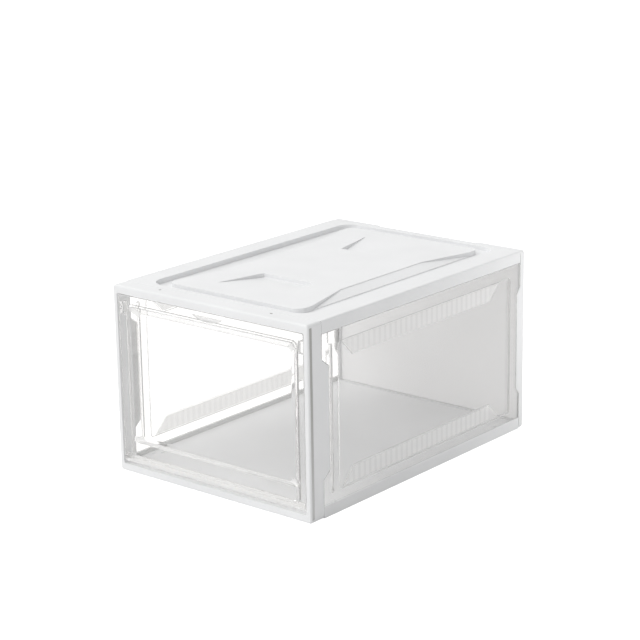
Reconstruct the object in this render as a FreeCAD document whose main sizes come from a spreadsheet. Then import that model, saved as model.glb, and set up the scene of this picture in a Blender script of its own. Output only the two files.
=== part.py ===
import FreeCAD, Part
import math
import os
import Sketcher

# Drop-front shoe box: a knock-down display box of white mouldings and clear panels.
# Origin: middle of the underside. +X is to the right, the front faces -Y, +Z is up. Millimetres.
# Two white frames, front and rear, hold a white cover and tray and two clear side panels by
# tongues in grooves. A clear door turns on two stub pins at the foot of the front frame.

DIMENSIONS = {
    # overall
    "box_width": 270.0,
    "box_depth": 380.0,
    "box_height": 209.0,
    "seam": 0.4,
    # frames
    "front_depth": 21.0,
    "rear_depth": 8.5,
    "side_bar": 6.0,
    "top_bar": 9.0,
    "foot_bar": 8.5,
    "outer_wall": 2.4,
    "inner_wall": 1.4,
    "corner_radius": 3.5,
    "lip_radius": 2.2,
    "opening_corner": 2.0,
    "tab_foot": 42.0,
    "tab_head": 168.0,
    "tab_slope": 8.0,
    "front_tab": 10.5,
    "rear_tab": 6.0,
    # tongues and grooves
    "groove_depth": 8.0,
    "rear_groove_depth": 5.0,
    "tongue_play": 0.2,
    "tongue_rise": 3.0,
    "tongue_end_gap": 2.0,
    # cover
    "skin": 2.4,
    "skirt": 13.5,
    "cover_radius": 1.8,
    "channel_half_width": 107.5,
    "channel_inset": 6.5,
    "channel_depth": 5.5,
    "channel_corner": 18.0,
    "island_half_width": 92.0,
    "island_inset": 18.0,
    "island_corner": 12.0,
    "flank_head_depth": 1.0,
    "flank_depth": 4.6,
    "flank_waist": 75.0,
    "flank_half_length": 70.0,
    "flank_half_foot": 138.0,
    "flank_overrun": 1.0,
    "flank_end_overrun": 3.0,
    "bed_overlap": 0.5,
    "ramp_depth": 4.6,
    "ramp_deep_width": 68.0,
    "ramp_shallow_width": 96.0,
    "ramp_deep_offset": 67.0,
    "ramp_shallow_offset": 127.0,
    "ramp_bed_length": 42.0,
    "ramp_overrun": 3.0,
    "mark_radius": 1.0,
    "mark_offset": 77.0,
    "mark_setback": 12.5,
    "mark_depth": 0.8,
    # tray
    "floor_top": 7.9,
    "rail": 13.0,
    "stud_radius": 2.2,
    "stud_rise": 1.1,
    "stud_margin": 2.0,
    "stud_setback": 23.0,
    "stud_spacing": 7.0,
    # side panels
    "window_foot": 24.0,
    "window_head": 182.0,
    "window_corner": 4.0,
    "slot_end": 37.5,
    "rim_width": 1.6,
    "window_start": 47.5,
    "window_end": 352.0,
    "band_height": 19.0,
    "band_start": 54.0,
    "band_end": 332.0,
    "band_slope": 18.0,
    "band_rise": 1.0,
    "band_margin": 0.8,
    # door
    "door_setback": 0.8,
    "door_wall": 2.2,
    "door_side_gap": 1.2,
    "door_top_gap": 1.0,
    "pivot_height": 14.8,
    "heel_radius": 5.2,
    "pin_radius": 2.0,
    "pin_length": 3.2,
    "pin_play": 0.05,
    "heel_cheek": 2.5,
    "dish_half_width": 115.8,
    "dish_foot": 19.0,
    "dish_head": 187.0,
    "dish_corner": 5.0,
    "shelf_depth": 3.2,
    "dish_depth": 7.2,
    "pane_half_width": 105.0,
    "pane_foot": 36.5,
    "pane_head": 179.0,
    "pane_back_margin": 1.0,
    "shelf_head": 36.2,
    "pull_width": 42.0,
    "pull_drop": 5.6,
    "pull_head": 194.5,
    "pull_depth": 1.1,
    "lug_width": 6.0,
    "lug_height": 13.0,
    "lug_depth": 6.5,
    "lug_inset": 1.4,
    "nib_radius": 1.6,
    "nib_height": 184.0,
    "nib_gap": 0.3,
    "dimple_play": 0.5,
    "dimple_depth": 0.8,
    # rear panel and frame
    "rear_lip": 3.0,
    "rear_rim": 6.0,
    "rear_panel_play": 0.3,
    "rear_lip_play": 0.1,
    "rear_field_margin": 14.0,
    "rear_field_rise": 2.6,
    "rear_notch_half_width": 68.0,
    "rear_notch_depth": 1.6,
    "rear_notch_slope": 4.0,
    "rear_notch_reach": 5.5,
}


class Size:
    """A number and the sheet formula that gives it, so both follow the driving dimensions."""

    def __init__(self, formula, number):
        self.formula = formula
        self.number = float(number)

    @staticmethod
    def of(value):
        return value if isinstance(value, Size) else Size(f"{value:g}", value)

    def __add__(self, other):
        other = Size.of(other)
        return Size(f"({self.formula} + {other.formula})", self.number + other.number)

    def __sub__(self, other):
        other = Size.of(other)
        return Size(f"({self.formula} - {other.formula})", self.number - other.number)

    def __mul__(self, other):
        other = Size.of(other)
        return Size(f"({self.formula} * {other.formula})", self.number * other.number)

    def __truediv__(self, other):
        other = Size.of(other)
        return Size(f"({self.formula} / {other.formula})", self.number / other.number)

    def __radd__(self, other):
        return Size.of(other) + self

    def __rsub__(self, other):
        return Size.of(other) - self

    def __neg__(self):
        return Size(f"(-1 * {self.formula})", -self.number)


document = FreeCAD.newDocument("shoe_box")
sheet = document.addObject("Spreadsheet::Sheet", "dims")
for row, (alias, value) in enumerate(DIMENSIONS.items(), start=1):
    sheet.set(f"A{row}", alias)
    sheet.set(f"B{row}", str(value))
    sheet.setAlias(f"B{row}", alias)
document.recompute()


def dim(alias):
    return Size(f"dims.{alias}", DIMENSIONS[alias])


def bind(item, field, size):
    """Set one field of an object and tie it to the sheet."""
    size = Size.of(size)
    setattr(item, field, size.number)
    item.setExpression(field, size.formula)


# ---- sketches ---------------------------------------------------------------------------------

PLANES = {"top": "XY_Plane", "front": "XZ_Plane", "side": "YZ_Plane"}


def new_body(label):
    body = document.addObject("PartDesign::Body", label)
    body.Label = label
    return body


def sketch_at(body, name, facing, level):
    """An empty sketch on the body's own origin plane, moved along its normal to a level."""
    level = Size.of(level)
    sketch = body.newObject("Sketcher::SketchObject", name)
    plane = next(item for item in body.Origin.OriginFeatures if item.Role == PLANES[facing])
    sketch.AttachmentSupport = [(plane, "")]
    sketch.MapMode = "FlatFace"
    shift = -level if facing == "front" else level
    sketch.AttachmentOffset = FreeCAD.Placement(FreeCAD.Vector(0, 0, shift.number), FreeCAD.Rotation())
    sketch.setExpression(".AttachmentOffset.Base.z", shift.formula)
    return sketch


def hold(sketch, kind, geometry, end, size):
    """Fix one coordinate of a point, measured from the sketch's origin, to a sheet formula."""
    index = sketch.addConstraint(Sketcher.Constraint(kind, -1, 1, geometry, end, size.number))
    sketch.setExpression(f"Constraints[{index}]", size.formula)


def line(start, end):
    return ("line", start, end, None)


def arc(start, end, radius, turn):
    """A circular edge; turn is +1 for a left-hand bend and -1 for a right-hand one."""
    return ("arc", start, end, (Size.of(radius), turn))


def arc_geometry(start, end, radius, turn):
    middle = (start + end) * 0.5
    half = (end - start) * 0.5
    rise = math.sqrt(max(radius ** 2 - half.Length ** 2, 0.0))
    normal = FreeCAD.Vector(-half.y, half.x, 0).normalize()
    centre = middle + normal * (rise * turn)
    first, last = (start, end) if turn > 0 else (end, start)
    begin = math.atan2(first.y - centre.y, first.x - centre.x)
    finish = math.atan2(last.y - centre.y, last.x - centre.x)
    circle = Part.Circle(centre, FreeCAD.Vector(0, 0, 1), radius)
    return Part.ArcOfCircle(circle, begin, finish)


def draw(sketch, edges):
    """Add a closed chain of edges whose corners and radii all come from sheet formulas."""
    tails = []
    for kind, start, end, bend in edges:
        first = FreeCAD.Vector(start[0].number, start[1].number, 0)
        last = FreeCAD.Vector(end[0].number, end[1].number, 0)
        if kind == "line":
            index = sketch.addGeometry(Part.LineSegment(first, last), False)
            head, tail = 1, 2
        else:
            radius, turn = bend
            index = sketch.addGeometry(arc_geometry(first, last, radius.number, turn), False)
            head, tail = (1, 2) if turn > 0 else (2, 1)
            constraint = sketch.addConstraint(Sketcher.Constraint("Radius", index, radius.number))
            sketch.setExpression(f"Constraints[{constraint}]", radius.formula)
        hold(sketch, "DistanceX", index, head, start[0])
        hold(sketch, "DistanceY", index, head, start[1])
        tails.append((index, head, tail))
    for place, (index, head, tail) in enumerate(tails):
        following = tails[(place + 1) % len(tails)]
        sketch.addConstraint(Sketcher.Constraint("Coincident", index, tail, following[0], following[1]))


def polygon(points):
    points = [(Size.of(across), Size.of(along)) for across, along in points]
    return [line(start, end) for start, end in zip(points, points[1:] + points[:1])]


def rectangle(left, low, right, high):
    return polygon([(left, low), (right, low), (right, high), (left, high)])


def rounded_rectangle(left, low, right, high, radius):
    left, low, right, high, radius = (Size.of(value) for value in (left, low, right, high, radius))
    corners = [
        ((right - radius, low), (right, low + radius)),
        ((right, high - radius), (right - radius, high)),
        ((left + radius, high), (left, high - radius)),
        ((left, low + radius), (left + radius, low)),
    ]
    edges = []
    for (begin, finish), (following, _) in zip(corners, corners[1:] + corners[:1]):
        edges.append(arc(begin, finish, radius, 1))
        edges.append(line(finish, following))
    return edges


# ---- features ---------------------------------------------------------------------------------

def volume_of(body):
    return body.Shape.Volume if body.Tip else 0.0


def prism(body, name, facing, loops, low, high, cut=False):
    """Add or cut a straight prism between two levels along the facing's axis."""
    low, high = Size.of(low), Size.of(high)
    before = volume_of(body)
    starts_high = cut != (facing == "front")
    sketch = sketch_at(body, f"{name}_sketch", facing, high if starts_high else low)
    for edges in loops:
        draw(sketch, edges)
    feature = body.newObject("PartDesign::Pocket" if cut else "PartDesign::Pad", name)
    feature.Profile = sketch
    bind(feature, "Length", high - low)
    document.recompute()
    changed = volume_of(body) - before
    if changed * (-1 if cut else 1) <= 0:
        raise RuntimeError(f"{body.Label}: {name} changed nothing")
    return feature


def add(body, name, facing, loops, low, high):
    return prism(body, name, facing, loops, low, high)


def cut(body, name, facing, loops, low, high):
    return prism(body, name, facing, loops, low, high, cut=True)


def loft(body, name, facing, first, second, remove=False):
    """Join two outlines, each given as (level, edges), by straight sides."""
    before = volume_of(body)
    sketches = []
    for order, (level, edges) in enumerate((first, second)):
        sketch = sketch_at(body, f"{name}_sketch_{order}", facing, level)
        draw(sketch, edges)
        sketches.append(sketch)
    feature = body.newObject("PartDesign::SubtractiveLoft" if remove else "PartDesign::AdditiveLoft", name)
    feature.Profile = sketches[0]
    feature.Sections = [sketches[1]]
    feature.Ruled = True
    document.recompute()
    if (volume_of(body) - before) * (-1 if remove else 1) <= 0:
        raise RuntimeError(f"{body.Label}: {name} changed nothing")
    return feature


def add_circle(sketch, across, along, radius):
    across, along, radius = Size.of(across), Size.of(along), Size.of(radius)
    centre = FreeCAD.Vector(across.number, along.number, 0)
    index = sketch.addGeometry(Part.Circle(centre, FreeCAD.Vector(0, 0, 1), radius.number), False)
    hold(sketch, "DistanceX", index, 3, across)
    hold(sketch, "DistanceY", index, 3, along)
    constraint = sketch.addConstraint(Sketcher.Constraint("Radius", index, radius.number))
    sketch.setExpression(f"Constraints[{constraint}]", radius.formula)


def discs(body, name, facing, circles, low, high, remove=False):
    """Round bosses or holes, each given as (across, along, radius), between two levels."""
    low, high = Size.of(low), Size.of(high)
    before = volume_of(body)
    starts_high = remove != (facing == "front")
    sketch = sketch_at(body, f"{name}_sketch", facing, high if starts_high else low)
    for across, along, radius in circles:
        add_circle(sketch, across, along, radius)
    feature = body.newObject("PartDesign::Pocket" if remove else "PartDesign::Pad", name)
    feature.Profile = sketch
    bind(feature, "Length", high - low)
    document.recompute()
    if (volume_of(body) - before) * (-1 if remove else 1) <= 0:
        raise RuntimeError(f"{body.Label}: {name} changed nothing")
    return feature


def fillet(body, name, radius, chosen):
    """Round every edge of the body's last shape for which chosen(edge) is true."""
    tip = body.Tip
    names = [f"Edge{number}" for number, edge in enumerate(tip.Shape.Edges, start=1) if chosen(edge)]
    if not names:
        raise RuntimeError(f"{body.Label}: no edge for {name}")
    feature = body.newObject("PartDesign::Fillet", name)
    feature.Base = (tip, names)
    bind(feature, "Radius", radius)
    document.recompute()
    return feature


def along(edge, axis):
    """Whether an edge is straight and runs along the axis, 0, 1 or 2."""
    ends = [vertex.Point for vertex in edge.Vertexes]
    if len(ends) != 2 or not isinstance(edge.Curve, Part.Line):
        return False
    travel = ends[1] - ends[0]
    return abs(abs(travel[axis]) - travel.Length) < 1e-6


def at_level(edge, axis, level):
    return all(abs(vertex.Point[axis] - Size.of(level).number) < 1e-4 for vertex in edge.Vertexes)


# ---- shared positions -------------------------------------------------------------------------

half_width = dim("box_width") / 2
front = -(dim("box_depth") / 2)
back = dim("box_depth") / 2
height = dim("box_height")
skin_inside = half_width - dim("outer_wall")
opening_side = half_width - dim("side_bar")
opening_head = height - dim("top_bar")
opening_foot = dim("foot_bar")
front_seam = front + dim("front_depth")
rear_seam = back - dim("rear_depth")
core_front = front_seam + dim("seam")
core_back = rear_seam - dim("seam")
core_middle = (core_front + core_back) / 2

# The groove ring that runs round the inner face of each frame.
groove_out_side = skin_inside
groove_in_side = opening_side + dim("inner_wall")
groove_foot = dim("tongue_rise")
groove_foot_top = opening_foot - dim("inner_wall") * 2
groove_head = height - dim("tongue_rise")
groove_head_under = opening_head + dim("inner_wall") * 2

# The door's pivot and the nib of its catch, both set back from the front.
pivot_depth = front + dim("door_setback") + dim("heel_radius")
nib_depth = front + dim("door_setback") + dim("door_wall") + dim("lug_depth") / 2

play = dim("tongue_play")
tongue_front = front_seam - dim("groove_depth") + play * 2
tongue_back = rear_seam + dim("rear_groove_depth") - play * 2


def groove_ring(body, low, high):
    outer = rectangle(-groove_out_side, groove_foot, groove_out_side, groove_head)
    inner = rectangle(-groove_in_side, groove_foot_top, groove_in_side, groove_head_under)
    cut(body, "panel_groove", "front", [outer, inner], low, high)


def side_tab(body, name, side, root, reach):
    """The shallow trapezoid that the frame's outer wall lays over the middle of a side panel."""
    tip = root + reach
    foot, head, slope = dim("tab_foot"), dim("tab_head"), dim("tab_slope")
    outline = polygon([(root, foot), (tip, foot + slope), (tip, head - slope), (root, head)])
    low = skin_inside if side > 0 else -half_width
    add(body, name, "side", [outline], low, low + dim("outer_wall"))


# ---- the sub-parts ----------------------------------------------------------------------------

def make_front_frame():
    body = new_body("front_frame")
    add(body, "ring", "front", [rectangle(-half_width, 0, half_width, height)], front, front_seam)
    fillet(body, "long_corners", dim("corner_radius"), lambda edge: along(edge, 1))
    fillet(body, "front_rim", dim("lip_radius"), lambda edge: at_level(edge, 1, front))
    opening = rounded_rectangle(-opening_side, opening_foot, opening_side, opening_head,
                                dim("opening_corner"))
    cut(body, "opening", "front", [opening], front, front_seam)
    groove_ring(body, front_seam - dim("groove_depth"), front_seam)
    for side, name in ((1, "right_tab"), (-1, "left_tab")):
        side_tab(body, name, side, front_seam, dim("front_tab"))
    bore = dim("pin_radius") + dim("pin_play")
    reach = dim("pin_length") - dim("door_side_gap") + play * 2
    pivot = (pivot_depth, dim("pivot_height"), bore)
    discs(body, "right_pivot_bore", "side", [pivot], opening_side, opening_side + reach, remove=True)
    discs(body, "left_pivot_bore", "side", [pivot], -opening_side - reach, -opening_side, remove=True)
    dimple = (nib_depth, dim("nib_height"), dim("nib_radius") + dim("dimple_play"))
    sunk = opening_side + dim("dimple_depth")
    discs(body, "right_dimple", "side", [dimple], opening_side, sunk, remove=True)
    discs(body, "left_dimple", "side", [dimple], -sunk, -opening_side, remove=True)
    marks = [(dim("mark_offset") * side, front + dim("mark_setback"), dim("mark_radius"))
             for side in (-1, 1)]
    discs(body, "gate_marks", "top", marks, height - dim("mark_depth"), height, remove=True)
    return body


def make_rear_frame():
    body = new_body("rear_frame")
    add(body, "ring", "front", [rectangle(-half_width, 0, half_width, height)], rear_seam, back)
    fillet(body, "long_corners", dim("corner_radius"), lambda edge: along(edge, 1))
    fillet(body, "rear_rim", dim("lip_radius"), lambda edge: at_level(edge, 1, back))
    lip, rim = back - dim("rear_lip"), dim("rear_rim")
    seat = rectangle(-opening_side, opening_foot, opening_side, opening_head)
    cut(body, "panel_seat", "front", [seat], rear_seam, lip)
    window = rounded_rectangle(rim - opening_side, opening_foot + rim,
                               opening_side - rim, opening_head - rim, dim("opening_corner"))
    cut(body, "opening", "front", [window], lip, back)
    groove_ring(body, rear_seam, rear_seam + dim("rear_groove_depth"))
    for side, name in ((1, "right_tab"), (-1, "left_tab")):
        side_tab(body, name, side, rear_seam, -dim("rear_tab"))
    reach, depth = dim("rear_notch_half_width"), dim("rear_notch_depth")
    top = reach + dim("rear_notch_slope")
    notch = polygon([(-top, height), (-reach, height - depth), (reach, height - depth), (top, height)])
    cut(body, "top_notch", "front", [notch], back - dim("rear_notch_reach"), back)
    return body


def make_top_cover():
    body = new_body("top_cover")
    skin, wall, seam = dim("skin"), dim("outer_wall"), dim("seam")
    under = height - skin
    bed_top = under + dim("bed_overlap")
    skirt_foot = height - dim("skirt")
    end_foot = opening_head + seam * 2
    shell = rectangle(-half_width, core_front, half_width, core_back)
    add(body, "shell", "top", [shell], skirt_foot, height)
    fillet(body, "long_edges", dim("cover_radius"),
           lambda edge: along(edge, 1) and at_level(edge, 2, height))
    hollow = rectangle(wall - half_width, core_front + skin, half_width - wall, core_back - skin)
    cut(body, "hollow", "top", [hollow], skirt_foot, under)
    ends = [rectangle(wall - half_width, level, half_width - wall, level + skin)
            for level in (core_front, core_back - skin)]
    cut(body, "low_ends", "top", ends, skirt_foot, end_foot)

    # Tongues for the two frames.
    tongue_side = groove_in_side - dim("tongue_end_gap")
    tongue_low, tongue_high = groove_head_under + play, groove_head - play
    for name, near, far in (("front_tongue", tongue_front, core_front + skin),
                            ("rear_tongue", core_back - skin, tongue_back)):
        add(body, name, "top", [rectangle(-tongue_side, near, tongue_side, far)], tongue_low, tongue_high)

    # The stacking channel: a closed ring sunk into the top, with its own floor below.
    channel_floor = height - dim("channel_depth")
    inset = dim("channel_inset")
    outer_side, corner = dim("channel_half_width"), dim("channel_corner")
    outer = rounded_rectangle(-outer_side, core_front + inset, outer_side, core_back - inset, corner)
    island_side, island_inset = dim("island_half_width"), dim("island_inset")
    island = rounded_rectangle(-island_side, core_front + island_inset, island_side,
                               core_back - island_inset, dim("island_corner"))
    trough = rounded_rectangle(-outer_side - skin, core_front + inset - skin, outer_side + skin,
                               core_back - inset + skin, corner + skin)
    core = rounded_rectangle(skin - island_side, core_front + island_inset + skin,
                             island_side - skin, core_back - island_inset - skin,
                             dim("island_corner") - skin)
    add(body, "channel_trough", "top", [trough, core], channel_floor - skin, bed_top)

    # Flank cut-outs either side of the island: a floor that falls away outwards and widens as it does.
    flank_head, flank_foot = height - dim("flank_head_depth"), height - dim("flank_depth")
    waist, overrun = dim("flank_waist"), dim("flank_overrun")
    waist_ends = (core_middle - dim("flank_half_length"), core_middle + dim("flank_half_length"))
    bed_ends = (core_middle - dim("flank_half_foot"), core_middle + dim("flank_half_foot"))
    foot_ends = (bed_ends[0] - dim("flank_end_overrun"), bed_ends[1] + dim("flank_end_overrun"))
    sides = ((1, "right"), (-1, "left"))
    for side, name in sides:
        loft(body, f"{name}_flank_bed", "side",
             ((waist - skin) * side, rectangle(waist_ends[0], flank_head - skin, waist_ends[1], bed_top)),
             ((island_side - overrun) * side,
              rectangle(bed_ends[0], flank_foot - skin, bed_ends[1], bed_top)))
    cut(body, "channel", "top", [outer, island], channel_floor, height)
    for side, name in sides:
        loft(body, f"{name}_flank", "side",
             (waist * side, rectangle(waist_ends[0], flank_head, waist_ends[1], height)),
             ((island_side + overrun) * side,
              rectangle(foot_ends[0], flank_foot, foot_ends[1], height)), remove=True)

    # Two ramps that sink towards the middle of the cover.
    deep, shallow = dim("ramp_deep_offset"), dim("ramp_shallow_offset")
    sink, top = dim("ramp_depth"), height + dim("ramp_overrun")
    deep_half, shallow_half = dim("ramp_deep_width") / 2, dim("ramp_shallow_width") / 2
    for side, name in ((-1, "front"), (1, "rear")):
        near, far = core_middle + deep * side, core_middle + shallow * side
        bed_near, bed_far = near - skin * side, near + dim("ramp_bed_length") * side
        bed = rectangle(-shallow_half, bed_near, shallow_half, bed_far)
        add(body, f"{name}_ramp_bed", "top", [bed], height - sink - skin, bed_top)
        loft(body, f"{name}_ramp", "front",
             (near, rectangle(-deep_half, height - sink, deep_half, top)),
             (far, rectangle(-shallow_half, height, shallow_half, top + sink)), remove=True)
    return body


def make_base_tray():
    body = new_body("base_tray")
    skin, wall, rail, seam = dim("skin"), dim("outer_wall"), dim("rail"), dim("seam")
    floor_top = dim("floor_top")
    block = rectangle(-half_width, core_front, half_width, core_back)
    add(body, "block", "top", [block], 0, rail)
    inner = rectangle(wall - half_width, core_front - seam, half_width - wall, core_back + seam)
    cut(body, "well", "top", [inner], floor_top, rail)
    hollow = rectangle(wall * 2 - half_width, core_front + wall, half_width - wall * 2, core_back - wall)
    cut(body, "foot_hollow", "top", [hollow], 0, floor_top - skin)
    tongue_side = groove_in_side - dim("tongue_end_gap")
    tongue_low, tongue_high = groove_foot + play, groove_foot_top - play
    for name, near, far in (("front_tongue", tongue_front, core_front + wall),
                            ("rear_tongue", core_back - wall, tongue_back)):
        add(body, name, "top", [rectangle(-tongue_side, near, tongue_side, far)], tongue_low, tongue_high)

    # A pair of low studs in each corner of the floor, set aslant.
    spacing = dim("stud_spacing")
    studs = []
    for end, edge in ((1, core_front), (-1, core_back)):
        for side in (-1, 1):
            for order in range(2):
                across = (opening_side - dim("stud_margin") - spacing * order) * side
                setback = dim("stud_setback") + spacing * order
                studs.append((across, edge + setback * end, dim("stud_radius")))
    discs(body, "studs", "top", studs, floor_top, floor_top + dim("stud_rise"))
    return body


def make_right_side_panel():
    """A clear panel: one plate whose edges are the tongues, under a skin that frames two windows."""
    body = new_body("right_side_panel")
    seam = dim("seam")
    tongue_inner, tongue_outer = groove_in_side + play, skin_inside - play
    face = half_width - play
    foot, head = dim("rail") + seam, height - dim("skirt") - seam
    plate = rectangle(tongue_front, dim("floor_top") + seam, tongue_back, opening_head + seam)
    add(body, "plate", "side", [plate], tongue_inner, tongue_outer)

    # The skin stops short of the frames and is cut back round their tabs.
    start, end, slope = core_front, core_back, dim("tab_slope")
    low_tab, high_tab = dim("tab_foot") - seam, dim("tab_head") + seam
    near, far = start + dim("front_tab"), end - dim("rear_tab")
    outline = polygon([(start, foot), (end, foot), (end, low_tab), (far, low_tab + slope),
                       (far, high_tab - slope), (end, high_tab), (end, head), (start, head),
                       (start, high_tab), (near, high_tab - slope), (near, low_tab + slope),
                       (start, low_tab)])
    window_foot, window_head, corner = dim("window_foot"), dim("window_head"), dim("window_corner")
    window = rounded_rectangle(front + dim("window_start"), window_foot,
                               front + dim("window_end"), window_head, corner)
    slot = rounded_rectangle(near + dim("rim_width"), window_foot,
                             front + dim("slot_end"), window_head, 1.5)
    add(body, "skin", "side", [outline, window, slot], tongue_outer, face)

    # Raised trapezoid bands along the head and the foot of the large window.
    left, right = front + dim("band_start"), front + dim("band_end")
    tall, lean, margin = dim("band_height"), dim("band_slope"), dim("band_margin")
    low, high = window_foot + margin, window_head - margin
    bands = [polygon([(left, edge), (right, edge), (right - lean, crest), (left + lean, crest)])
             for edge, crest in ((low, low + tall), (high, high - tall))]
    add(body, "bands", "side", bands, tongue_outer, tongue_outer + dim("band_rise"))
    return body


def make_left_side_panel(right_panel):
    mirror = document.addObject("Part::Mirroring", "left_side_panel")
    mirror.Label = "left_side_panel"
    mirror.Source = right_panel
    mirror.Normal = FreeCAD.Vector(1, 0, 0)
    document.recompute()
    return mirror


def make_front_door():
    body = new_body("front_door")
    wall, play_side = dim("door_wall"), dim("door_side_gap")
    face = front + dim("door_setback")
    side = opening_side - play_side
    head = opening_head - dim("door_top_gap")
    pivot_height, heel = dim("pivot_height"), dim("heel_radius")
    flange = rectangle(-side, pivot_height, side, head)
    add(body, "flange", "front", [flange], face, face + wall)
    fillet(body, "head_corners", dim("opening_corner"),
           lambda edge: along(edge, 1) and at_level(edge, 2, head))

    # Two steps back from the flange: a shelf, then the pane, whose sides slope in.
    dish_side, dish_corner = dim("dish_half_width"), dim("dish_corner")
    dish_foot, dish_head = dim("dish_foot"), dim("dish_head")
    shelf, pane = face + dim("shelf_depth"), face + dim("dish_depth")
    pane_side, pane_foot, pane_head = dim("pane_half_width"), dim("pane_foot"), dim("pane_head")
    shelf_head, margin = dim("shelf_head"), dim("pane_back_margin")
    box = rounded_rectangle(-dish_side - wall, dish_foot - wall, dish_side + wall, dish_head + wall,
                            dish_corner + wall)
    add(body, "dish_walls", "front", [box], face + wall, shelf + wall)
    loft(body, "pane_back", "front",
         (shelf + wall, rounded_rectangle(-dish_side, shelf_head - wall, dish_side, dish_head,
                                          dish_corner)),
         (pane + wall, rounded_rectangle(-pane_side - margin, pane_foot - wall, pane_side + margin,
                                         pane_head + margin, dish_corner)))
    cut(body, "dish", "front",
        [rounded_rectangle(-dish_side, dish_foot, dish_side, dish_head, dish_corner)], face, shelf)
    loft(body, "pane_front", "front",
         (shelf, rounded_rectangle(-dish_side, shelf_head, dish_side, dish_head, dish_corner)),
         (pane, rounded_rectangle(-pane_side, pane_foot, pane_side, pane_head, dish_corner)), remove=True)

    # The foot of the door curls round the pivot as a trough with closed ends.
    inner = heel - wall
    turn = pivot_depth
    trough = [
        line((turn - inner, pivot_height), (turn - heel, pivot_height)),
        arc((turn - heel, pivot_height), (turn, pivot_height - heel), heel, 1),
        arc((turn, pivot_height - heel), (turn + heel, pivot_height), heel, 1),
        line((turn + heel, pivot_height), (turn + heel, pivot_height + wall)),
        line((turn + heel, pivot_height + wall), (turn + inner, pivot_height + wall)),
        line((turn + inner, pivot_height + wall), (turn + inner, pivot_height)),
        arc((turn + inner, pivot_height), (turn, pivot_height - inner), inner, -1),
        arc((turn, pivot_height - inner), (turn - inner, pivot_height), inner, -1),
    ]
    add(body, "heel", "side", [trough], -side, side)
    cheek, pin = dim("heel_cheek"), dim("pin_length")
    for direction, name in ((1, "right"), (-1, "left")):
        inside, outside = (side - cheek) * direction, side * direction
        low, high = (inside, outside) if direction > 0 else (outside, inside)
        discs(body, f"{name}_cheek", "side", [(turn, pivot_height, heel)], low, high)
        tip = (side + pin) * direction
        low, high = (outside, tip) if direction > 0 else (tip, outside)
        discs(body, f"{name}_pin", "side", [(turn, pivot_height, dim("pin_radius"))], low, high)

    # A lug behind each upper corner carries the nib that clicks into the frame's dimple.
    lug_outer = side - dim("lug_inset")
    lug_inner = lug_outer - dim("lug_width")
    lug_foot = dim("nib_height") - dim("lug_height") / 2
    lug_head = dim("nib_height") + dim("lug_height") / 2
    lugs = [rectangle(lug_inner, lug_foot, lug_outer, lug_head),
            rectangle(-lug_outer, lug_foot, -lug_inner, lug_head)]
    add(body, "latch_lugs", "front", lugs, face + wall, face + wall + dim("lug_depth"))
    nib, nib_tip = (nib_depth, dim("nib_height"), dim("nib_radius")), opening_side - dim("nib_gap")
    discs(body, "right_nib", "side", [nib], lug_outer, nib_tip)
    discs(body, "left_nib", "side", [nib], -nib_tip, -lug_outer)

    # The finger pull: a shallow half-moon scoop in the top flange, flat edge uppermost.
    scoop = half_moon(dim("pull_width") / 2, dim("pull_drop"), dim("pull_head"))
    cut(body, "pull_scoop", "front", [scoop], face, face + dim("pull_depth"))
    return body


def half_moon(reach, drop, top):
    """A chord with a shallow arc hanging below it."""
    radius = (reach * reach + drop * drop) / (drop * 2)
    low = (Size.of(0), top - drop)
    return [arc((-reach, top), low, radius, 1), arc(low, (reach, top), radius, 1),
            line((reach, top), (-reach, top))]


def make_rear_panel():
    """The white back: plain towards the shoes, with a raised frame on its outside."""
    body = new_body("rear_panel")
    gap, wall = dim("rear_panel_play"), dim("door_wall")
    lip = back - dim("rear_lip") - dim("rear_lip_play")
    side = opening_side - gap
    plate = rectangle(-side, opening_foot + gap, side, opening_head - gap)
    add(body, "plate", "front", [plate], lip - wall, lip)
    rim = dim("rear_rim") + gap
    field = rounded_rectangle(rim - opening_side, opening_foot + rim, opening_side - rim,
                              opening_head - rim, dim("opening_corner"))
    margin = dim("rear_field_margin")
    pane = rounded_rectangle(margin - opening_side, opening_foot + margin, opening_side - margin,
                             opening_head - margin, dim("dish_corner"))
    add(body, "field_rim", "front", [field, pane], lip, lip + dim("rear_field_rise"))
    return body


# ---- build, check and write -------------------------------------------------------------------

def check_document():
    for item in document.Objects:
        faults = [state for state in item.State if state in ("Invalid", "Error")]
        if faults:
            raise RuntimeError(f"{item.Label} failed to recompute: {faults}")


def main():
    right_panel = make_right_side_panel()
    sub_parts = [
        make_front_frame(),
        make_rear_frame(),
        make_top_cover(),
        make_base_tray(),
        right_panel,
        make_left_side_panel(right_panel),
        make_front_door(),
        make_rear_panel(),
    ]
    document.recompute()
    check_document()
    os.makedirs("parts", exist_ok=True)
    for item in sub_parts:
        shape = item.Shape
        if shape.isNull() or not shape.isValid():
            raise RuntimeError(f"{item.Label} has no valid shape")
        shape.exportStep(f"parts/{item.Label}.step")
        box = shape.BoundBox
        print(f"{item.Label}: {len(shape.Solids)} solid, {shape.Volume / 1000:.1f} cm3, "
              f"x {box.XMin:.1f} {box.XMax:.1f}, y {box.YMin:.1f} {box.YMax:.1f}, "
              f"z {box.ZMin:.1f} {box.ZMax:.1f}")


main()
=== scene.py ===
"""Looks of the drop-front shoe box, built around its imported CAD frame. Metres."""

import math

import bmesh
import bpy
from mathutils import Matrix, Vector


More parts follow.
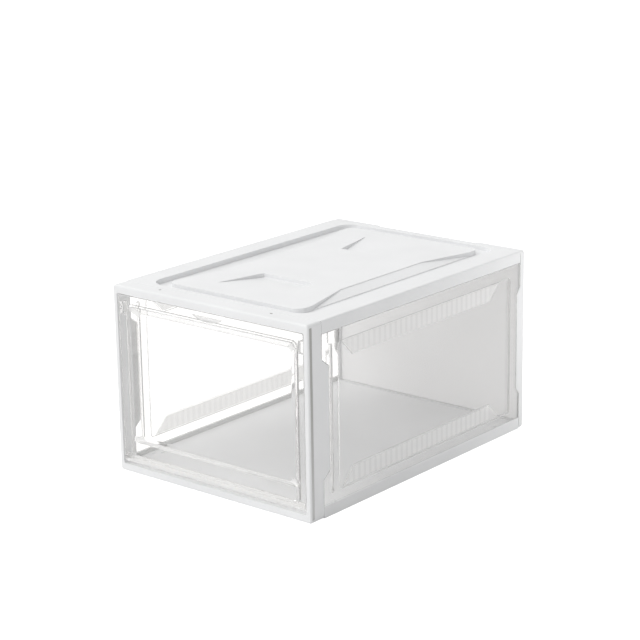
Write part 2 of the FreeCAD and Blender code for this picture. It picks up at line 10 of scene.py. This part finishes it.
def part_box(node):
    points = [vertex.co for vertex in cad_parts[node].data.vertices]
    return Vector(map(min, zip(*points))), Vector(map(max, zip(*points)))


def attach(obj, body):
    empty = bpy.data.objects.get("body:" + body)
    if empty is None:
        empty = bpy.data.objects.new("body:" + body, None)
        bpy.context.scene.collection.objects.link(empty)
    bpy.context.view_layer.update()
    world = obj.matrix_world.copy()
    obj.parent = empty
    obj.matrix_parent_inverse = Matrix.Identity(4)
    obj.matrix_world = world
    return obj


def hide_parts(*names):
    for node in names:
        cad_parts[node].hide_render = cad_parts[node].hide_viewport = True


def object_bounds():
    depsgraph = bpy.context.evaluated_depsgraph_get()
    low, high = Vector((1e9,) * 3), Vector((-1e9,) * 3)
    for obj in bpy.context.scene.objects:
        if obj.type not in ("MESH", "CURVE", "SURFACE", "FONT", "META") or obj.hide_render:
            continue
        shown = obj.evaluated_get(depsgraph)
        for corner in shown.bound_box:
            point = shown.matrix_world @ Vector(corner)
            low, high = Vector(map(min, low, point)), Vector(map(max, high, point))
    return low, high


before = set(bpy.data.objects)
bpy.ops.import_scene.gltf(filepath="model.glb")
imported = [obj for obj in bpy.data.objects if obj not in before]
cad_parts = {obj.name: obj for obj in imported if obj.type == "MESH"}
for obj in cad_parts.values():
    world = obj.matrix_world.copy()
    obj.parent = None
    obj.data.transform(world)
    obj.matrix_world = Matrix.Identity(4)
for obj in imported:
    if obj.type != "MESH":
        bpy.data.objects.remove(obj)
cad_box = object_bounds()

MM = 0.001

# CAD node: (name of the piece that stands for it, CAD body, radius of its soft edges)
WHITE_PIECES = {
    "front_frame": ("white_front_frame", "box", 0.6 * MM),
    "rear_frame": ("white_rear_frame", "box", 0.3 * MM),
    "top_cover": ("white_top_cover", "box", 0.6 * MM),
    "base_tray": ("white_base_tray", "box", 0.5 * MM),
    "rear_panel": ("white_rear_panel", "box", 0.4 * MM),
}
CLEAR_PIECES = {
    "right_side_panel": ("clear_right_panel", "box", 0.35 * MM),
    "left_side_panel": ("clear_left_panel", "box", 0.35 * MM),
    "front_door": ("clear_front_door", "door", 0.3 * MM),
}

# Slot 0 of a mesh is its plain plastic. These are the other slots of a white piece, and of a clear one.
# On a white piece, slot 1 holds painted shade and slot 2 a painted glow.
PAINTED_SHADE_SLOT, PAINTED_GLOW_SLOT = 1, 2
# On a clear piece, slot 2 holds painted pale light and slot 3 a matt bed with painted shade.
FROSTED, PAINTED_PALE_SLOT, MATT_SHADED_SLOT = 1, 2, 3

WHITE_TINTS = ((0.87, 0.875, 0.88, 1), (0.9, 0.905, 0.91, 1))   # mottling drifts between the two tints
CLEAR_TINTS = ((0.972, 0.968, 0.962), (0.985, 0.982, 0.977))
PAINTED_SHADE_TINTS = ((0.66, 0.655, 0.65, 1), (0.47, 0.465, 0.45, 1))   # painted shade, at the band's foot and darker at its head
THROUGH_TINT = (0.95, 0.948, 0.945, 1)                          # for lamp light through clear plastic
# tint of the painted glow on the rear wall's inner face
PAINTED_GLOW_TINT = (1.0, 0.95, 0.92, 1.0)

# Scales of the plastics' patterns, in waves per metre
MOTTLE_SCALE = 14.0             # the white's tint
SATIN_SCALE = 60.0              # the white's gloss
GRAIN_SCALE = 1100.0            # the white's moulded grain
TINT_SCALE = 9.0                # the clear plastic's tint
HAZE_SCALE = 25.0               # its roughness
FLOW_SCALE = 16.0               # its slow waves, longer along the depth of the box
FLOW_STRETCH = (1.0, 0.35, 1.0)
FLOW_STRENGTH, FLOW_DEPTH = 0.05, 1.0 * MM
GRAIN_DEPTH = 0.05 * MM
WHITE_IOR = 1.49
CLEAR_IOR = 1.5

# The direction that each clear plate faces
PLATE_AXES = {
    "right_side_panel": Vector((1, 0, 0)),
    "left_side_panel": Vector((1, 0, 0)),
    "front_door": Vector((0, 1, 0)),
}
PLATE_FACE = 0.75               # faces turned further than this from the plate's axis are its edges
FLAT_FACE = 0.9995              # a small face turned further than this rounds off a fold
ROUNDING_AREA = 200 * MM * MM

SQUARE_ON = 0.999               # a face whose normal is this close to an axis faces along it
FACING_IN = 0.5                 # a face of the rear wall turned at least this far forwards is inside
LEVEL_PLAY = 0.05 * MM          # a face this close to a level lies in it
SAME_POINT = 0.001 * MM         # vertices this close are one
CUT_PLAY = SAME_POINT / 10      # a vertex this close to a cutting plane lies on it
COPLANAR = math.radians(0.5)    # faces this flat to each other are one face
SHARP = math.radians(25)        # an edge turning by more than this gets a soft radius
EDGE_STEPS = 3

BAND_SINK = 1.4 * MM            # the bands' faces lie this far inside a side panel's skin
RIB_PITCH = 9.0 * MM            # upright ribs across the bands
RIB_HEIGHT = 0.5 * MM
RIB_MARGIN = 1.0 * MM           # plain border of a band, and the length over which a rib dies out
RIB_LEAN = 0.05                 # a rib's flank facing at least this far forwards gets the paler material, painted light that streaks the ribs

DISH_HALF_WIDTH = 115.8 * MM    # the door's sunk dish, its corner radius and the foot of its pane
DISH_CORNER = 5.0 * MM
PANE_FOOT = 41.2 * MM

HEEL_HEAD = 18.0 * MM           # below this the door is its curled heel
SCOOP_HEAD = 194.5 * MM         # the half-moon finger scoop in the door's flange
SCOOP_HALF_WIDTH = 21.0 * MM
SCOOP_DROP = 5.6 * MM
SCOOP_BED = 0.5 * MM            # the scoop's bed lies deeper than this, and faces forwards
BED_FACING = 0.99

LIP_DEPTH = 6.5 * MM            # band of painted shade down each side of the front frame, behind its front edge
LIP_GROOVE = 0.4 * MM

MARK_OFFSET = 77.0 * MM         # two small sunk marks on the front frame's top
MARK_Y = -177.5 * MM
MARK_RADIUS = 1.6 * MM


# ---- materials ----------------------------------------------------------------------------------

def new_material(name):
    material = bpy.data.materials.new(name)
    material.use_nodes = True
    tree = material.node_tree
    return material, tree, tree.nodes["Principled BSDF"]


def noise(tree, scale, detail=2.0, stretch=(1.0, 1.0, 1.0)):
    """Noise fixed to the piece, scale in waves per metre; returns its Fac output."""
    place = tree.nodes.new("ShaderNodeTexCoord")
    mapping = tree.nodes.new("ShaderNodeMapping")
    mapping.inputs["Scale"].default_value = stretch
    texture = tree.nodes.new("ShaderNodeTexNoise")
    texture.inputs["Scale"].default_value = scale
    texture.inputs["Detail"].default_value = detail
    tree.links.new(place.outputs["Object"], mapping.inputs["Vector"])
    tree.links.new(mapping.outputs["Vector"], texture.inputs["Vector"])
    return texture.outputs["Fac"]


def ramp(tree, factor, stops):
    """A colour or grey from a factor; stops are two (position, colour) pairs."""
    node = tree.nodes.new("ShaderNodeValToRGB")
    for element, (position, colour) in zip(node.color_ramp.elements, stops):
        element.position = position
        element.color = colour
    tree.links.new(factor, node.inputs["Fac"])
    return node.outputs["Color"]


def grey(value):
    return (value, value, value, 1.0)


def bump(tree, height, strength, distance):
    node = tree.nodes.new("ShaderNodeBump")
    node.inputs["Strength"].default_value = strength
    node.inputs["Distance"].default_value = distance
    tree.links.new(height, node.inputs["Height"])
    return node.outputs["Normal"]


def satin_surface(tree, shader, smoothest, roughest, grain_strength):
    """A satin gloss that varies between two roughnesses, over a fine moulded grain."""
    satin = ramp(tree, noise(tree, SATIN_SCALE, 2.0), [(0.3, grey(smoothest)), (0.7, grey(roughest))])
    tree.links.new(satin, shader.inputs["Roughness"])
    grain = noise(tree, GRAIN_SCALE, 2.0)
    tree.links.new(bump(tree, grain, grain_strength, GRAIN_DEPTH), shader.inputs["Normal"])
    shader.inputs["IOR"].default_value = WHITE_IOR


def white_plastic(name, painted_glow):
    """Satin white polypropylene, faintly mottled. A painted glow, by emission, stands in for light that a
    thin wall lets through.
    """
    material, tree, shader = new_material(name)
    shader.inputs["Emission Color"].default_value = PAINTED_GLOW_TINT
    shader.inputs["Emission Strength"].default_value = painted_glow
    low, high = WHITE_TINTS
    colour = ramp(tree, noise(tree, MOTTLE_SCALE, 3.0), [(0.35, low), (0.65, high)])
    tree.links.new(colour, shader.inputs["Base Color"])
    satin_surface(tree, shader, 0.34, 0.44, grain_strength=0.05)
    return material


def painted_shade_plastic():
    """The white plastic in painted shade: a grey band, a little darker towards its head."""
    material, tree, shader = new_material("painted_shade_grey")
    place = tree.nodes.new("ShaderNodeTexCoord")
    axes = tree.nodes.new("ShaderNodeSeparateXYZ")
    tree.links.new(place.outputs["Object"], axes.inputs["Vector"])
    height = tree.nodes.new("ShaderNodeMapRange")
    height.inputs["From Max"].default_value = cad_box[1][2]
    tree.links.new(axes.outputs["Z"], height.inputs["Value"])
    foot, head = PAINTED_SHADE_TINTS
    colour = ramp(tree, height.outputs["Result"], [(0.1, foot), (0.6, head)])
    tree.links.new(colour, shader.inputs["Base Color"])
    satin_surface(tree, shader, 0.4, 0.5, grain_strength=0.12)
    return material


def clear_plastic(name, clarity, shade, rough_low, rough_high):
    """Clear polystyrene. Lamps and soft light reach what is behind it through a Transparent stand-in."""
    material, tree, shader = new_material(name)
    shader.inputs["Transmission Weight"].default_value = clarity
    shader.inputs["IOR"].default_value = CLEAR_IOR
    low, high = ((red * shade, green * shade, blue * shade, 1) for red, green, blue in CLEAR_TINTS)
    tint = ramp(tree, noise(tree, TINT_SCALE, 2.0), [(0.35, low), (0.65, high)])
    tree.links.new(tint, shader.inputs["Base Color"])
    haze = ramp(tree, noise(tree, HAZE_SCALE, 3.0), [(0.35, grey(rough_low)), (0.7, grey(rough_high))])
    tree.links.new(haze, shader.inputs["Roughness"])
    flow = noise(tree, FLOW_SCALE, 1.0, FLOW_STRETCH)
    tree.links.new(bump(tree, flow, FLOW_STRENGTH, FLOW_DEPTH), shader.inputs["Normal"])
    path = tree.nodes.new("ShaderNodeLightPath")
    soft = tree.nodes.new("ShaderNodeMath")
    soft.operation = "MAXIMUM"
    tree.links.new(path.outputs["Is Shadow Ray"], soft.inputs[0])
    tree.links.new(path.outputs["Is Diffuse Ray"], soft.inputs[1])
    through = tree.nodes.new("ShaderNodeBsdfTransparent")
    through.inputs["Color"].default_value = THROUGH_TINT
    mix = tree.nodes.new("ShaderNodeMixShader")
    tree.links.new(soft.outputs[0], mix.inputs["Fac"])
    tree.links.new(shader.outputs["BSDF"], mix.inputs[1])
    tree.links.new(through.outputs["BSDF"], mix.inputs[2])
    tree.links.new(mix.outputs["Shader"], tree.nodes["Material Output"].inputs["Surface"])
    return material


# ---- meshes -------------------------------------------------------------------------------------

def cut_faces(mesh, faces, place, normal):
    """Cuts some faces along a plane; returns the faces they become."""
    edges = dict.fromkeys(edge for face in faces for edge in face.edges)
    verts = dict.fromkeys(vert for face in faces for vert in face.verts)
    cut = bmesh.ops.bisect_plane(
        mesh, geom=[*faces, *edges, *verts], dist=CUT_PLAY, plane_co=place, plane_no=normal,
    )
    return [item for item in cut["geom"] if isinstance(item, bmesh.types.BMFace)]


def whole_faces(node):
    """The CAD node's solid with its flat faces whole, not in triangles."""
    mesh = bmesh.new()
    mesh.from_mesh(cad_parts[node].data)
    bmesh.ops.remove_doubles(mesh, verts=mesh.verts, dist=SAME_POINT)
    bmesh.ops.dissolve_limit(mesh, angle_limit=COPLANAR, verts=mesh.verts, edges=mesh.edges)
    return mesh


def soften(mesh, edge_radius):
    """Rounds the sharp edges, as a moulding has them."""
    sharp = [edge for edge in mesh.edges if edge.calc_face_angle(0.0) > SHARP]
    bmesh.ops.bevel(
        mesh, geom=sharp, offset=edge_radius, offset_type="OFFSET", segments=EDGE_STEPS,
        profile=0.5, affect="EDGES", clamp_overlap=False,
    )


def part_dish_corners(mesh):
    """Cuts off the slivers where the door's dish rounds its foot, so that its flat faces fill cleanly."""
    bend = DISH_HALF_WIDTH - DISH_CORNER
    cuts = [((bend, 0, 0), (1, 0, 0)), ((-bend, 0, 0), (1, 0, 0)), ((0, 0, PANE_FOOT), (0, 0, 1))]
    flat = [face for face in mesh.faces if abs(face.normal.y) > SQUARE_ON]
    for place, normal in cuts:
        flat = cut_faces(mesh, flat, place, normal)


def rib_bands(mesh, side, level):
    """Frosted upright ribs on a side panel's two bands, whose flat faces lie at x = level."""
    bands = [
        face for face in mesh.faces
        if face.normal.x * side > SQUARE_ON and abs(face.calc_center_median().x - level) < LEVEL_PLAY
    ]
    bmesh.ops.inset_region(mesh, faces=bands, thickness=RIB_MARGIN)
    for band in bands:
        heights = [vert.co.z for vert in band.verts]
        lengths = [vert.co.y for vert in band.verts]
        strips = [band]
        for height in (min(heights) + RIB_MARGIN, max(heights) - RIB_MARGIN):
            strips = cut_faces(mesh, strips, (0, 0, height), (0, 0, 1))
        border = {vert for vert in mesh.verts if any(face not in strips for face in vert.link_faces)}
        steps = round((max(lengths) - min(lengths)) / (RIB_PITCH / 2))
        crests = []
        for step in range(1, steps):
            along = min(lengths) + step * RIB_PITCH / 2
            strips = cut_faces(mesh, strips, (0, along, 0), (0, 1, 0))
            if step % 2:
                crests.append(along)
        inner = set(strips)
        for vert in {vert for face in strips for vert in face.verts} - border:
            on_crest = any(abs(vert.co.y - along) < SAME_POINT for along in crests)
            if on_crest and all(face in inner for face in vert.link_faces):
                vert.co.x += side * RIB_HEIGHT
        for face in strips:
            face.normal_update()
            # Flanks facing forwards get painted pale light, the others stay frosted, so the ribs show as
            # streaks.
            face.material_index = PAINTED_PALE_SLOT if face.normal.y < -RIB_LEAN else FROSTED


def groove_lip(mesh, box):
    """Sinks a band down each side of the front frame, just behind its front edge, and paints shade into it.
    """
    low, high = box
    sides = [
        face for face in mesh.faces
        if abs(face.normal.x) > SQUARE_ON and abs(face.calc_center_median().x) > high.x - LEVEL_PLAY
    ]
    parts = cut_faces(mesh, sides, (0, low.y + LIP_DEPTH, 0), (0, 1, 0))
    bands = [face for face in parts if face.calc_center_median().y < low.y + LIP_DEPTH]
    bmesh.ops.inset_region(mesh, faces=bands, thickness=LIP_GROOVE, depth=-LIP_GROOVE)
    for face in bands:
        face.material_index = PAINTED_SHADE_SLOT


def darken_marks(mesh):
    """The two small sunk marks on the front frame's top get painted shade inside."""
    for face in mesh.faces:
        at = face.calc_center_median()
        for side in (-1, 1):
            if math.hypot(at.x - side * MARK_OFFSET, at.y - MARK_Y) < MARK_RADIUS:
                face.material_index = PAINTED_SHADE_SLOT


def pale_edges(mesh, axis):
    """Walls and rounded edges get a paler, more diffuse plastic: painted light standing in for the stray
    light the plate gathers there.
    """
    for face in mesh.faces:
        facing = abs(face.normal.dot(axis))
        rounding = facing < FLAT_FACE and face.calc_area() < ROUNDING_AREA
        if facing < PLATE_FACE or rounding:
            face.material_index = PAINTED_PALE_SLOT


def pale_heel_and_shaded_scoop(mesh, front):
    """The door's heel gets the painted pale light of its edges, and the bed of its finger scoop is matt
    with painted shade.
    """
    for face in mesh.faces:
        at = face.calc_center_median()
        heel = max(vert.co.z for vert in face.verts) < HEEL_HEAD
        in_scoop = abs(at.x) < SCOOP_HALF_WIDTH and SCOOP_HEAD - SCOOP_DROP < at.z < SCOOP_HEAD
        bed = in_scoop and face.normal.y < -BED_FACING and at.y > front + SCOOP_BED
        if heel:
            face.material_index = PAINTED_PALE_SLOT
        if bed:
            face.material_index = MATT_SHADED_SLOT


def paint_glow_on_inner_face(mesh):
    """The rear wall's face towards the inside gets a painted glow, standing in for daylight through the
    thin wall.
    """
    for face in mesh.faces:
        if face.normal.y < -FACING_IN:
            face.material_index = PAINTED_GLOW_SLOT


def moulded_mesh(node, edge_radius):
    """The CAD node's solid as whole faces with soft edges and its fine relief."""
    mesh = whole_faces(node)
    if node == "front_door":
        part_dish_corners(mesh)
    soften(mesh, edge_radius)
    if node in PLATE_AXES:
        pale_edges(mesh, PLATE_AXES[node])
    low, high = (Vector(corner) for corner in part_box(node))
    if node == "right_side_panel":
        rib_bands(mesh, 1, high.x - BAND_SINK)
    if node == "left_side_panel":
        rib_bands(mesh, -1, low.x + BAND_SINK)
    if node == "front_frame":
        groove_lip(mesh, (low, high))
        darken_marks(mesh)
    if node == "front_door":
        pale_heel_and_shaded_scoop(mesh, low.y)
    if node == "rear_panel":
        paint_glow_on_inner_face(mesh)
    for face in mesh.faces:
        face.smooth = True
    return mesh


def finished_piece(mesh, name, node, body, materials):
    data = bpy.data.meshes.new(name)
    mesh.to_mesh(data)
    mesh.free()
    for material in materials:
        data.materials.append(material)
    piece = bpy.data.objects.new(name, data)
    bpy.context.scene.collection.objects.link(piece)
    even = piece.modifiers.new("flat_faces", "WEIGHTED_NORMAL")
    even.keep_sharp = False
    even.weight = 100
    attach(piece, body)
    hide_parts(node)
    lit_by_fill.objects.link(piece)


# The materials are in the order of the slots above.
lit_by_fill = bpy.data.collections.new("lit_by_fill")
white_materials = [
    white_plastic("white_plastic", painted_glow=0.0),
    painted_shade_plastic(),
    # emission on the rear wall's inner face: painted light
    white_plastic("white_plastic_painted_glow", painted_glow=0.11),
]
clear_materials = [
    clear_plastic("clear_plastic", clarity=1.0, shade=1.0, rough_low=0.005, rough_high=0.03),
    clear_plastic("frosted_plastic", clarity=0.45, shade=0.98, rough_low=0.02, rough_high=0.06),
    # a paler, more diffuse copy for edges, heel and rib flanks: painted light
    clear_plastic("painted_pale_plastic", clarity=0.4, shade=0.98, rough_low=0.02, rough_high=0.06),
    # shade=0.8 darkens the scoop's bed: painted shade in its recess, on a matt finish
    clear_plastic("matt_painted_shade_plastic", clarity=0.5, shade=0.8, rough_low=0.1, rough_high=0.2),
]
for node, (name, body, radius) in WHITE_PIECES.items():
    finished_piece(moulded_mesh(node, radius), name, node, body, white_materials)
for node, (name, body, radius) in CLEAR_PIECES.items():
    finished_piece(moulded_mesh(node, radius), name, node, body, clear_materials)


# ---- floor, light, camera -----------------------------------------------------------------------

def floor():
    """A plain floor, lit up to white where the camera sees it."""
    data = bpy.data.meshes.new("floor")
    reach = 30.0
    corners = [(-reach, -reach, 0), (reach, -reach, 0), (reach, reach, 0), (-reach, reach, 0)]
    data.from_pydata(corners, [], [(0, 1, 2, 3)])
    plane = bpy.data.objects.new("floor", data)
    bpy.context.scene.collection.objects.link(plane)
    material, tree, shader = new_material("floor")
    shader.inputs["Base Color"].default_value = (0.93, 0.93, 0.93, 1)
    shader.inputs["Roughness"].default_value = 0.9
    shader.inputs["Emission Color"].default_value = (1, 1, 1, 1)
    tree.links.new(by_ray(tree, seen=0.9, through=0.35, otherwise=None), shader.inputs["Emission Strength"])
    data.materials.append(material)


def by_ray(tree, seen, through, otherwise):
    """A strength for what the camera sees, what is seen through clear plastic, and all other light."""
    path = tree.nodes.new("ShaderNodeLightPath")
    level = otherwise
    for ray, strength in (("Is Transmission Ray", through), ("Is Camera Ray", seen)):
        mix = tree.nodes.new("ShaderNodeMix")
        mix.inputs["A"].default_value = 0.0
        mix.inputs["B"].default_value = strength
        tree.links.new(path.outputs[ray], mix.inputs["Factor"])
        if level is not None:
            tree.links.new(level, mix.inputs["A"])
        level = mix.outputs["Result"]
    return level


DIM_SIDE = Vector((0.88, 0.35, -0.1)).normalized()


def studio_sky():
    """White to the eye, dimmer towards the right, as a room lit from the left is."""
    world = bpy.data.worlds.new("studio")
    world.use_nodes = True
    bpy.context.scene.world = world
    tree = world.node_tree
    background = tree.nodes["Background"]
    background.inputs["Color"].default_value = (1, 1, 1, 1)
    place = tree.nodes.new("ShaderNodeTexCoord")
    side = tree.nodes.new("ShaderNodeVectorMath")
    side.operation = "DOT_PRODUCT"
    side.inputs[1].default_value = DIM_SIDE
    tree.links.new(place.outputs["Generated"], side.inputs[0])
    dim = tree.nodes.new("ShaderNodeMapRange")
    dim.interpolation_type = "SMOOTHSTEP"
    dim.inputs["From Min"].default_value = -0.5
    dim.inputs["From Max"].default_value = 0.8
    dim.inputs["To Min"].default_value = 1.0
    dim.inputs["To Max"].default_value = 0.33
    tree.links.new(side.outputs["Value"], dim.inputs["Value"])
    level = by_ray(tree, seen=1.3, through=1.1, otherwise=dim.outputs["Result"])
    tree.links.new(level, background.inputs["Strength"])


def area_light(name, place, target, size, power):
    data = bpy.data.lights.new(name, "AREA")
    data.shape = "RECTANGLE"
    data.size, data.size_y = size
    data.energy = power
    lamp = bpy.data.objects.new(name, data)
    bpy.context.scene.collection.objects.link(lamp)
    lamp.location = place
    lamp.rotation_mode = "QUATERNION"
    lamp.rotation_quaternion = (Vector(target) - Vector(place)).to_track_quat("-Z", "Y")
    lamp.visible_camera = False
    return lamp


def camera():
    """Azimuth from straight in front towards +X, elevation above level, roll about the sight line."""
    azimuth, elevation, roll = math.radians(39.733), math.radians(15.985), math.radians(-0.956)
    distance, across, up_shift = 2254.94 * MM, -7.78 * MM, 142.29 * MM
    back = Vector((
        math.sin(azimuth) * math.cos(elevation),
        -math.cos(azimuth) * math.cos(elevation),
        math.sin(elevation),
    ))
    level = Vector((math.cos(azimuth), math.sin(azimuth), 0.0))
    upright = back.cross(level)
    right = math.cos(roll) * level + math.sin(roll) * upright
    up = math.cos(roll) * upright - math.sin(roll) * level
    place = across * right + up_shift * up + distance * back
    data = bpy.data.cameras.new("camera")
    data.sensor_width = 36.0
    data.lens = 113.39
    eye = bpy.data.objects.new("camera", data)
    bpy.context.scene.collection.objects.link(eye)
    eye.matrix_world = Matrix((
        (right.x, up.x, back.x, place.x),
        (right.y, up.y, back.y, place.y),
        (right.z, up.z, back.z, place.z),
        (0, 0, 0, 1),
    ))
    bpy.context.scene.camera = eye


floor()
studio_sky()
area_light("key", place=(-0.8, -1.3, 2.7), target=(0, 0, 0.1), size=(1.8, 1.8), power=21.5)
# The fill brightens the box's rear right corner, and only the box: it lights no floor.
fill = area_light(
    "rear_fill", place=(0.42, 0.42, 0.16), target=(0.135, 0.15, 0.1), size=(0.3, 0.3), power=0.75,
)
fill.visible_glossy = False
fill.visible_transmission = False
fill.light_linking.receiver_collection = lit_by_fill
camera()
bpy.context.scene.view_settings.view_transform = "Standard"
